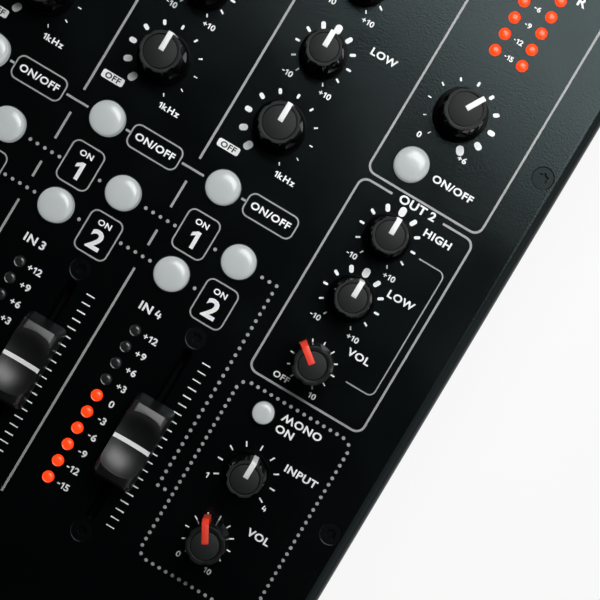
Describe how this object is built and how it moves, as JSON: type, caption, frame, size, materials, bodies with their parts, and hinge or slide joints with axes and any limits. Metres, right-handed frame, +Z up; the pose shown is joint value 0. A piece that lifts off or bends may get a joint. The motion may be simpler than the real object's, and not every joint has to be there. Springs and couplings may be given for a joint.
{
  "type": "dj mixer",
  "caption": "Table-top DJ mixer in a black coated steel case, with channel strips of knobs, buttons, level meters and faders and a crossfader at the front.",
  "frame": {"origin": "middle of the bounding box's foot, on the surface that the feet stand on", "axes": "+X is the operator's right, +Y the rear with the sockets, +Z up"},
  "size_m": [0.2954, 0.358, 0.1054],
  "materials": {
    "panel_coat": "textured",
    "case_coat": "textured",
    "foot_rubber": "matte",
    "screw_steel": "satin",
    "board": "satin",
    "led_lens": "gloss",
    "track_steel": "brushed",
    "socket_plastic": "satin",
    "inlet_plastic": "satin",
    "supply": "satin",
    "switch_plastic": "gloss",
    "fader_plastic": "satin",
    "knob_plastic": "satin",
    "print_white": "matte",
    "print_grey": "matte",
    "pointer_white": "satin",
    "pointer_red": "satin",
    "contact_metal": "polished",
    "button_lens": "gloss"
  },
  "bodies": {
    "chassis": {"top_panel": "panel_coat", "base_tray": "case_coat", "rubber_feet": "foot_rubber", "panel_screws": "screw_steel", "control_board": "board", "meter_leds": "led_lens", "fader_tracks": "track_steel", "audio_sockets": "socket_plastic", "mains_inlet": "inlet_plastic", "power_supply": "supply"},
    "sweep_knob_1_body": {"sweep_knob_1": "knob_plastic"},
    "bass_knob_1_body": {"bass_knob_1": "knob_plastic"},
    "middle_knob_1_body": {"middle_knob_1": "knob_plastic"},
    "treble_knob_1_body": {"treble_knob_1": "knob_plastic"},
    "gain_knob_1_body": {"gain_knob_1": "knob_plastic"},
    "sweep_knob_2_body": {"sweep_knob_2": "knob_plastic"},
    "bass_knob_2_body": {"bass_knob_2": "knob_plastic"},
    "middle_knob_2_body": {"middle_knob_2": "knob_plastic"},
    "treble_knob_2_body": {"treble_knob_2": "knob_plastic"},
    "gain_knob_2_body": {"gain_knob_2": "knob_plastic"},
    "sweep_knob_3_body": {"sweep_knob_3": "knob_plastic"},
    "bass_knob_3_body": {"bass_knob_3": "knob_plastic"},
    "middle_knob_3_body": {"middle_knob_3": "knob_plastic"},
    "treble_knob_3_body": {"treble_knob_3": "knob_plastic"},
    "gain_knob_3_body": {"gain_knob_3": "knob_plastic"},
    "sweep_knob_4_body": {"sweep_knob_4": "knob_plastic"},
    "bass_knob_4_body": {"bass_knob_4": "knob_plastic"},
    "middle_knob_4_body": {"middle_knob_4": "knob_plastic"},
    "treble_knob_4_body": {"treble_knob_4": "knob_plastic"},
    "gain_knob_4_body": {"gain_knob_4": "knob_plastic"},
    "booth_level_knob_body": {"booth_level_knob": "knob_plastic"},
    "booth_bass_knob_body": {"booth_bass_knob": "knob_plastic"},
    "booth_treble_knob_body": {"booth_treble_knob": "knob_plastic"},
    "mix_level_knob_body": {"mix_level_knob": "knob_plastic"},
    "mic_level_knob_body": {"mic_level_knob": "knob_plastic"},
    "source_knob_a_body": {"source_knob_a": "knob_plastic"},
    "phones_level_knob_a_body": {"phones_level_knob_a": "knob_plastic"},
    "source_knob_b_body": {"source_knob_b": "knob_plastic"},
    "phones_level_knob_b_body": {"phones_level_knob_b": "knob_plastic"},
    "filter_button_1_body": {"filter_button_1": "button_lens"},
    "cue_a_button_1_body": {"cue_a_button_1": "button_lens"},
    "cue_b_button_1_body": {"cue_b_button_1": "button_lens"},
    "filter_button_2_body": {"filter_button_2": "button_lens"},
    "cue_a_button_2_body": {"cue_a_button_2": "button_lens"},
    "cue_b_button_2_body": {"cue_b_button_2": "button_lens"},
    "filter_button_3_body": {"filter_button_3": "button_lens"},
    "cue_a_button_3_body": {"cue_a_button_3": "button_lens"},
    "cue_b_button_3_body": {"cue_b_button_3": "button_lens"},
    "filter_button_4_body": {"filter_button_4": "button_lens"},
    "cue_a_button_4_body": {"cue_a_button_4": "button_lens"},
    "cue_b_button_4_body": {"cue_b_button_4": "button_lens"},
    "eq_on_button_body": {"eq_on_button": "button_lens"},
    "split_cue_button_a_body": {"split_cue_button_a": "button_lens"},
    "split_cue_button_b_body": {"split_cue_button_b": "button_lens"},
    "fader_1_body": {"fader_1": "fader_plastic"},
    "fader_2_body": {"fader_2": "fader_plastic"},
    "fader_3_body": {"fader_3": "fader_plastic"},
    "fader_4_body": {"fader_4": "fader_plastic"},
    "crossfader_body": {"crossfader": "fader_plastic"},
    "power_switch_body": {"power_switch": "switch_plastic"}
  },
  "joints": [
    {"name": "sweep_knob_1_joint", "type": "hinge", "parent": "chassis", "child": "sweep_knob_1_body", "pos_m": [-0.0695, 0.032, 0.09], "axis": [0, 0, -1], "range_deg": [-210, 90]},
    {"name": "bass_knob_1_joint", "type": "hinge", "parent": "chassis", "child": "bass_knob_1_body", "pos_m": [-0.0695, 0.059, 0.09], "axis": [0, 0, -1], "range_deg": [-150, 150]},
    {"name": "middle_knob_1_joint", "type": "hinge", "parent": "chassis", "child": "middle_knob_1_body", "pos_m": [-0.0695, 0.086, 0.09], "axis": [0, 0, -1], "range_deg": [-120, 180]},
    {"name": "treble_knob_1_joint", "type": "hinge", "parent": "chassis", "child": "treble_knob_1_body", "pos_m": [-0.0695, 0.113, 0.09], "axis": [0, 0, -1], "range_deg": [-150, 150]},
    {"name": "gain_knob_1_joint", "type": "hinge", "parent": "chassis", "child": "gain_knob_1_body", "pos_m": [-0.0695, 0.14, 0.09], "axis": [0, 0, -1], "range_deg": [-126, 174]},
    {"name": "sweep_knob_2_joint", "type": "hinge", "parent": "chassis", "child": "sweep_knob_2_body", "pos_m": [-0.0265, 0.032, 0.09], "axis": [0, 0, -1], "range_deg": [-150, 150]},
    {"name": "bass_knob_2_joint", "type": "hinge", "parent": "chassis", "child": "bass_knob_2_body", "pos_m": [-0.0265, 0.059, 0.09], "axis": [0, 0, -1], "range_deg": [-150, 150]},
    {"name": "middle_knob_2_joint", "type": "hinge", "parent": "chassis", "child": "middle_knob_2_body", "pos_m": [-0.0265, 0.086, 0.09], "axis": [0, 0, -1], "range_deg": [-150, 150]},
    {"name": "treble_knob_2_joint", "type": "hinge", "parent": "chassis", "child": "treble_knob_2_body", "pos_m": [-0.0265, 0.113, 0.09], "axis": [0, 0, -1], "range_deg": [-135, 165]},
    {"name": "gain_knob_2_joint", "type": "hinge", "parent": "chassis", "child": "gain_knob_2_body", "pos_m": [-0.0265, 0.14, 0.09], "axis": [0, 0, -1], "range_deg": [-168, 132]},
    {"name": "sweep_knob_3_joint", "type": "hinge", "parent": "chassis", "child": "sweep_knob_3_body", "pos_m": [0.0165, 0.032, 0.09], "axis": [0, 0, -1], "range_deg": [-150, 150]},
    {"name": "bass_knob_3_joint", "type": "hinge", "parent": "chassis", "child": "bass_knob_3_body", "pos_m": [0.0165, 0.059, 0.09], "axis": [0, 0, -1], "range_deg": [-105, 195]},
    {"name": "middle_knob_3_joint", "type": "hinge", "parent": "chassis", "child": "middle_knob_3_body", "pos_m": [0.0165, 0.086, 0.09], "axis": [0, 0, -1], "range_deg": [-165, 135]},
    {"name": "treble_knob_3_joint", "type": "hinge", "parent": "chassis", "child": "treble_knob_3_body", "pos_m": [0.0165, 0.113, 0.09], "axis": [0, 0, -1], "range_deg": [-150, 150]},
    {"name": "gain_knob_3_joint", "type": "hinge", "parent": "chassis", "child": "gain_knob_3_body", "pos_m": [0.0165, 0.14, 0.09], "axis": [0, 0, -1], "range_deg": [-144, 156]},
    {"name": "sweep_knob_4_joint", "type": "hinge", "parent": "chassis", "child": "sweep_knob_4_body", "pos_m": [0.0595, 0.032, 0.09], "axis": [0, 0, -1], "range_deg": [-150, 150]},
    {"name": "bass_knob_4_joint", "type": "hinge", "parent": "chassis", "child": "bass_knob_4_body", "pos_m": [0.0595, 0.059, 0.09], "axis": [0, 0, -1], "range_deg": [-150, 150]},
    {"name": "middle_knob_4_joint", "type": "hinge", "parent": "chassis", "child": "middle_knob_4_body", "pos_m": [0.0595, 0.086, 0.09], "axis": [0, 0, -1], "range_deg": [-150, 150]},
    {"name": "treble_knob_4_joint", "type": "hinge", "parent": "chassis", "child": "treble_knob_4_body", "pos_m": [0.0595, 0.113, 0.09], "axis": [0, 0, -1], "range_deg": [-150, 150]},
    {"name": "gain_knob_4_joint", "type": "hinge", "parent": "chassis", "child": "gain_knob_4_body", "pos_m": [0.0595, 0.14, 0.09], "axis": [0, 0, -1], "range_deg": [-162, 138]},
    {"name": "booth_level_knob_joint", "type": "hinge", "parent": "chassis", "child": "booth_level_knob_body", "pos_m": [0.107, -0.0275, 0.09], "axis": [0, 0, -1], "range_deg": [-98, 202]},
    {"name": "booth_bass_knob_joint", "type": "hinge", "parent": "chassis", "child": "booth_bass_knob_body", "pos_m": [0.107, -0.0032, 0.09], "axis": [0, 0, -1], "range_deg": [-150, 150]},
    {"name": "booth_treble_knob_joint", "type": "hinge", "parent": "chassis", "child": "booth_treble_knob_body", "pos_m": [0.107, 0.0195, 0.09], "axis": [0, 0, -1], "range_deg": [-150, 150]},
    {"name": "mix_level_knob_joint", "type": "hinge", "parent": "chassis", "child": "mix_level_knob_body", "pos_m": [0.107, 0.065, 0.09], "axis": [0, 0, -1], "range_deg": [-180, 120]},
    {"name": "mic_level_knob_joint", "type": "hinge", "parent": "chassis", "child": "mic_level_knob_body", "pos_m": [-0.1148, -0.0032, 0.09], "axis": [0, 0, -1], "range_deg": [-40, 260]},
    {"name": "source_knob_a_joint", "type": "hinge", "parent": "chassis", "child": "source_knob_a_body", "pos_m": [0.107, -0.0685, 0.09], "axis": [0, 0, -1], "range_deg": [-150, 150]},
    {"name": "phones_level_knob_a_joint", "type": "hinge", "parent": "chassis", "child": "phones_level_knob_a_body", "pos_m": [0.107, -0.0925, 0.09], "axis": [0, 0, -1], "range_deg": [-120, 180]},
    {"name": "source_knob_b_joint", "type": "hinge", "parent": "chassis", "child": "source_knob_b_body", "pos_m": [-0.1148, -0.0685, 0.09], "axis": [0, 0, -1], "range_deg": [-150, 150]},
    {"name": "phones_level_knob_b_joint", "type": "hinge", "parent": "chassis", "child": "phones_level_knob_b_body", "pos_m": [-0.1148, -0.0925, 0.09], "axis": [0, 0, -1], "range_deg": [-75, 225]},
    {"name": "filter_button_1_joint", "type": "slide", "parent": "chassis", "child": "filter_button_1_body", "axis": [0, 0, 1], "range_m": [-0.001, 0], "stiffness_N_per_m": 250, "springref_m": 0.001},
    {"name": "cue_a_button_1_joint", "type": "slide", "parent": "chassis", "child": "cue_a_button_1_body", "axis": [0, 0, 1], "range_m": [-0.001, 0], "stiffness_N_per_m": 250, "springref_m": 0.001},
    {"name": "cue_b_button_1_joint", "type": "slide", "parent": "chassis", "child": "cue_b_button_1_body", "axis": [0, 0, 1], "range_m": [-0.001, 0], "stiffness_N_per_m": 250, "springref_m": 0.001},
    {"name": "filter_button_2_joint", "type": "slide", "parent": "chassis", "child": "filter_button_2_body", "axis": [0, 0, 1], "range_m": [-0.001, 0], "stiffness_N_per_m": 250, "springref_m": 0.001},
    {"name": "cue_a_button_2_joint", "type": "slide", "parent": "chassis", "child": "cue_a_button_2_body", "axis": [0, 0, 1], "range_m": [-0.001, 0], "stiffness_N_per_m": 250, "springref_m": 0.001},
    {"name": "cue_b_button_2_joint", "type": "slide", "parent": "chassis", "child": "cue_b_button_2_body", "axis": [0, 0, 1], "range_m": [-0.001, 0], "stiffness_N_per_m": 250, "springref_m": 0.001},
    {"name": "filter_button_3_joint", "type": "slide", "parent": "chassis", "child": "filter_button_3_body", "axis": [0, 0, 1], "range_m": [-0.001, 0], "stiffness_N_per_m": 250, "springref_m": 0.001},
    {"name": "cue_a_button_3_joint", "type": "slide", "parent": "chassis", "child": "cue_a_button_3_body", "axis": [0, 0, 1], "range_m": [-0.001, 0], "stiffness_N_per_m": 250, "springref_m": 0.001},
    {"name": "cue_b_button_3_joint", "type": "slide", "parent": "chassis", "child": "cue_b_button_3_body", "axis": [0, 0, 1], "range_m": [-0.001, 0], "stiffness_N_per_m": 250, "springref_m": 0.001},
    {"name": "filter_button_4_joint", "type": "slide", "parent": "chassis", "child": "filter_button_4_body", "axis": [0, 0, 1], "range_m": [-0.001, 0], "stiffness_N_per_m": 250, "springref_m": 0.001},
    {"name": "cue_a_button_4_joint", "type": "slide", "parent": "chassis", "child": "cue_a_button_4_body", "axis": [0, 0, 1], "range_m": [-0.001, 0], "stiffness_N_per_m": 250, "springref_m": 0.001},
    {"name": "cue_b_button_4_joint", "type": "slide", "parent": "chassis", "child": "cue_b_button_4_body", "axis": [0, 0, 1], "range_m": [-0.001, 0], "stiffness_N_per_m": 250, "springref_m": 0.001},
    {"name": "eq_on_button_joint", "type": "slide", "parent": "chassis", "child": "eq_on_button_body", "axis": [0, 0, 1], "range_m": [-0.001, 0], "stiffness_N_per_m": 250, "springref_m": 0.001},
    {"name": "split_cue_button_a_joint", "type": "slide", "parent": "chassis", "child": "split_cue_button_a_body", "axis": [0, 0, 1], "range_m": [-0.001, 0], "stiffness_N_per_m": 250, "springref_m": 0.001},
    {"name": "split_cue_button_b_joint", "type": "slide", "parent": "chassis", "child": "split_cue_button_b_body", "axis": [0, 0, 1], "range_m": [-0.001, 0], "stiffness_N_per_m": 250, "springref_m": 0.001},
    {"name": "fader_1_joint", "type": "slide", "parent": "chassis", "child": "fader_1_body", "axis": [0, 1, 0], "range_m": [-0.016, 0.044]},
    {"name": "fader_2_joint", "type": "slide", "parent": "chassis", "child": "fader_2_body", "axis": [0, 1, 0], "range_m": [-0.039, 0.021]},
    {"name": "fader_3_joint", "type": "slide", "parent": "chassis", "child": "fader_3_body", "axis": [0, 1, 0], "range_m": [-0.032, 0.028]},
    {"name": "fader_4_joint", "type": "slide", "parent": "chassis", "child": "fader_4_body", "axis": [0, 1, 0], "range_m": [-0.0274, 0.0326]},
    {"name": "crossfader_joint", "type": "slide", "parent": "chassis", "child": "crossfader_body", "axis": [1, 0, 0], "range_m": [-0.0225, 0.0225]},
    {"name": "power_switch_joint", "type": "hinge", "parent": "chassis", "child": "power_switch_body", "pos_m": [0.09, 0.1659, 0.044], "axis": [1, 0, 0], "range_deg": [-18, 0]}
  ]
}
